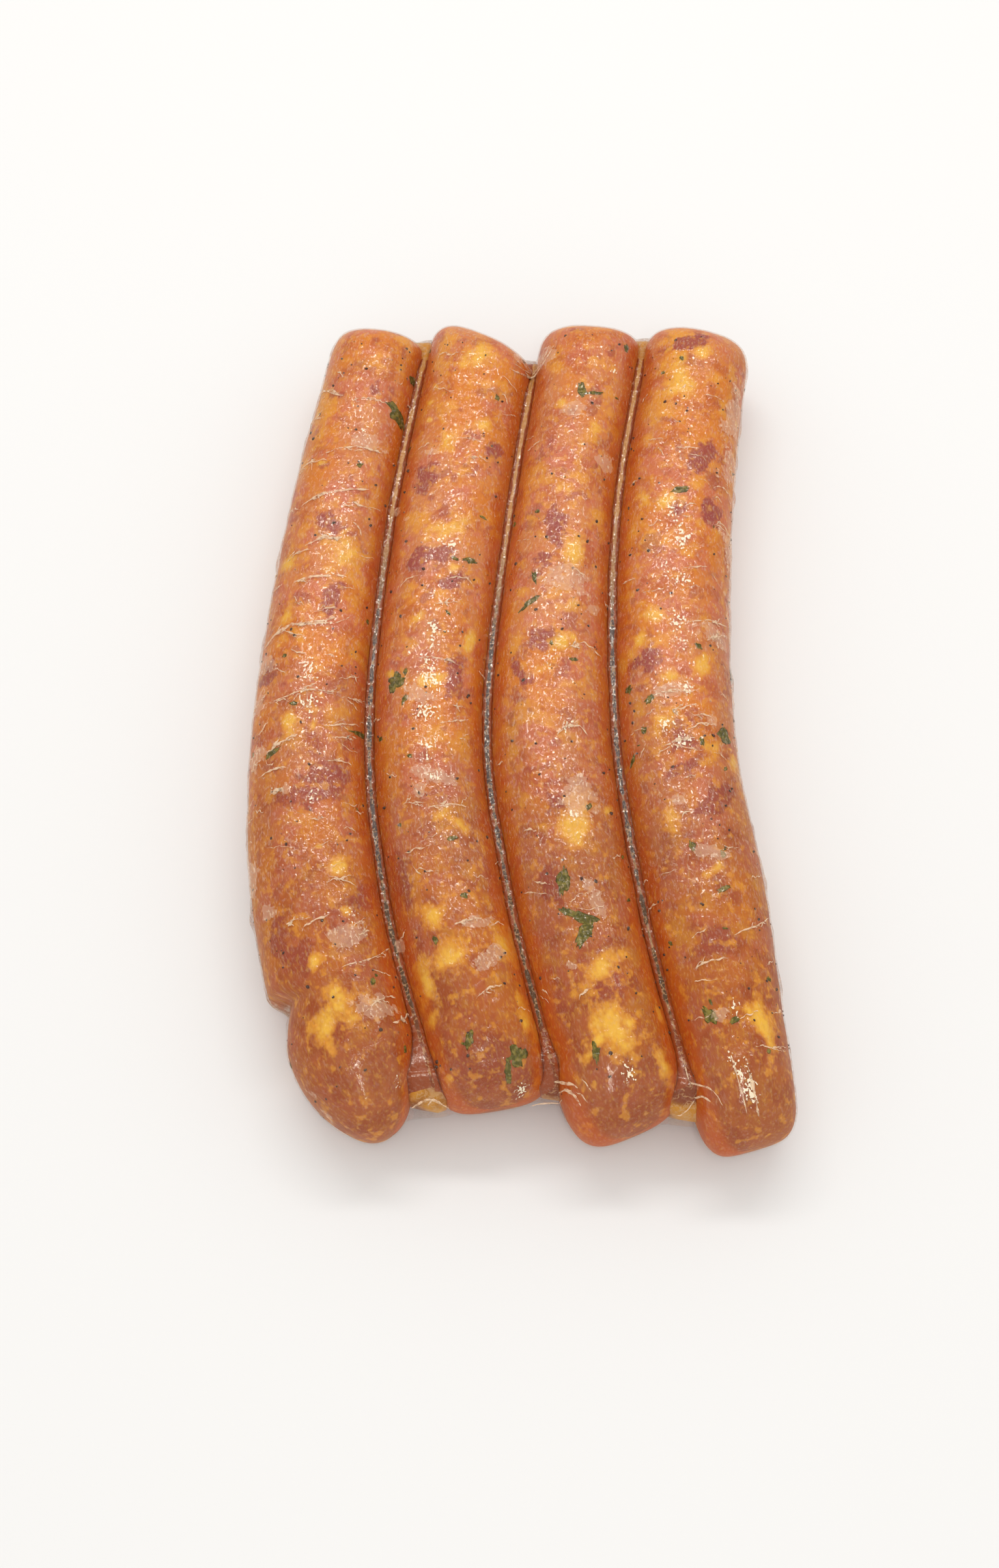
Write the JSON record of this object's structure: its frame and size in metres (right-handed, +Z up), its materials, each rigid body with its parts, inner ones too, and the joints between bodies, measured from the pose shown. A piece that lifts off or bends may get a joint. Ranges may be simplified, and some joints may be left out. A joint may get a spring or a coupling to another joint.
{
  "type": "vacuum pack of sausages",
  "caption": "Raw sausages lying side by side in clear vacuum film, gently curved, with film drawn into the valleys and tight from end to end.",
  "frame": {"origin": "on the table, under the middle of the pack's bounding box", "axes": "+Y runs along the sausages towards their far ends, +X across the pack to the right, +Z up off the table"},
  "size_m": [0.1167, 0.2072, 0.025],
  "materials": {
    "clear_film": "clear glossy vacuum film over orange-red meat",
    "sausage_meat": "moist coarse minced meat in a thin casing, orange-red with pale fat and dark lean",
    "herb_flake": "dull dark green dried herb",
    "meat_juice": "wet amber fat and juice"
  },
  "bodies": {
    "root": {"sealed_pack": "clear_film"}
  },
  "joints": []
}
